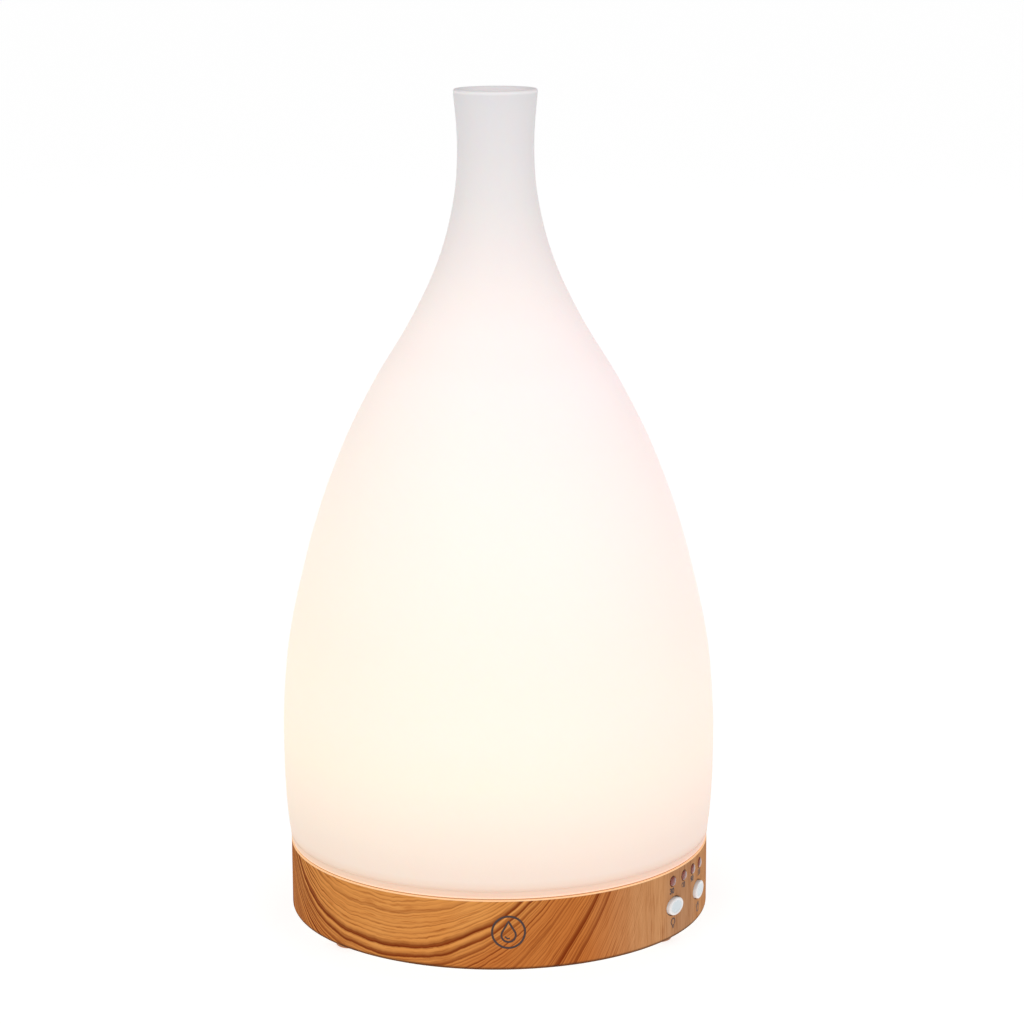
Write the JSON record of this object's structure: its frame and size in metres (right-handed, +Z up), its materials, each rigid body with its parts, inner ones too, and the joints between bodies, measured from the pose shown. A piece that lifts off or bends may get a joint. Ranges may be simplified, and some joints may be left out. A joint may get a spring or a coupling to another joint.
{
  "type": "cool mist humidifier",
  "caption": "Bottle-shaped frosted glass cover over a lidded water tank, on a round wood-grain base with push buttons, indicator lenses and a power inlet; the glass and the lid lift off.",
  "frame": {"origin": "on the surface it stands on, under the middle of the base", "axes": "+Z up along the axis of the glass, -Y the front, +X to the right seen from the front"},
  "size_m": [0.149, 0.149, 0.2851],
  "materials": {
    "wood_grain_shell": "printed wood grain under satin lacquer",
    "cover_plastic": "fine moulded texture",
    "screw_steel": "zinc plated",
    "foot_rubber": "translucent amber-brown, matt",
    "frosted_glass": "acid-frosted, lit from inside",
    "milky_plastic": "milky, translucent",
    "silicone": "soft, matt",
    "white_plastic": "satin",
    "piezo_ceramic": "matt",
    "plate_steel": "satin",
    "black_plastic": "fine moulded texture",
    "motor_winding": "enamelled copper winding, taken as brass",
    "board_green": "solder resist",
    "ferrite": "matt",
    "capacitor_sleeve": "dark blue sleeve",
    "aluminium": "as extruded",
    "led_package": "phosphor",
    "smoked_lens": "tinted, clear",
    "board_white": "white solder resist",
    "nickel": "nickel plated"
  },
  "bodies": {
    "base": {"base_housing": "wood_grain_shell", "bottom_cover": "cover_plastic", "cover_screw_1": "screw_steel", "cover_screw_2": "screw_steel", "cover_screw_3": "screw_steel", "cover_screw_4": "screw_steel", "foot_front_left": "foot_rubber", "foot_front_right": "foot_rubber", "foot_back_left": "foot_rubber", "foot_back_right": "foot_rubber", "water_tank": "milky_plastic", "tank_gasket": "silicone", "piezo_disc": "piezo_ceramic", "piezo_seal": "silicone", "piezo_retainer": "plate_steel", "retainer_screw_1": "screw_steel", "retainer_screw_2": "screw_steel", "retainer_screw_3": "screw_steel", "fan_housing": "black_plastic", "fan_seal": "silicone", "fan_stator": "motor_winding", "drive_board": "board_green", "drive_coil": "ferrite", "capacitor_1": "capacitor_sleeve", "capacitor_2": "capacitor_sleeve", "heat_sink": "aluminium", "drive_transistor": "black_plastic", "control_board": "board_green", "light_switch_body": "black_plastic", "mist_switch_body": "black_plastic", "timer_led_1": "led_package", "timer_led_2": "led_package", "timer_led_3": "led_package", "timer_led_4": "led_package", "indicator_lens_1": "smoked_lens", "indicator_lens_2": "smoked_lens", "indicator_lens_3": "smoked_lens", "indicator_lens_4": "smoked_lens", "led_ring_board": "board_white", "mood_led_1": "led_package", "mood_led_2": "led_package", "mood_led_3": "led_package", "mood_led_4": "led_package", "mood_led_5": "led_package", "mood_led_6": "led_package", "dc_jack": "black_plastic", "jack_pin": "nickel"},
    "shade": {"glass_shade": "frosted_glass"},
    "lid": {"reservoir_lid": "white_plastic", "mist_chimney": "white_plastic"},
    "light_button": {"light_button": "white_plastic", "light_switch_stem": "black_plastic"},
    "mist_button": {"mist_button": "white_plastic", "mist_switch_stem": "black_plastic"},
    "fan_rotor": {"fan_rotor": "black_plastic", "fan_shaft": "screw_steel"}
  },
  "joints": [
    {"name": "shade_lift", "type": "slide", "parent": "base", "child": "shade", "axis": [0, 0, 1], "range_m": [0, 0.16]},
    {"name": "lid_lift", "type": "slide", "parent": "base", "child": "lid", "axis": [0, 0, 1], "range_m": [0, 0.04]},
    {"name": "light_button_press", "type": "slide", "parent": "base", "child": "light_button", "axis": [-0.7902, 0.6129, 0], "range_m": [0, 0.0005], "stiffness_N_per_m": 2000},
    {"name": "mist_button_press", "type": "slide", "parent": "base", "child": "mist_button", "axis": [-0.9219, 0.3875, 0], "range_m": [0, 0.0005], "stiffness_N_per_m": 2000},
    {"name": "fan_spin", "type": "hinge", "parent": "base", "child": "fan_rotor", "pos_m": [0, 0.036, 0.0078], "axis": [0, 0, 1], "continuous": true}
  ]
}
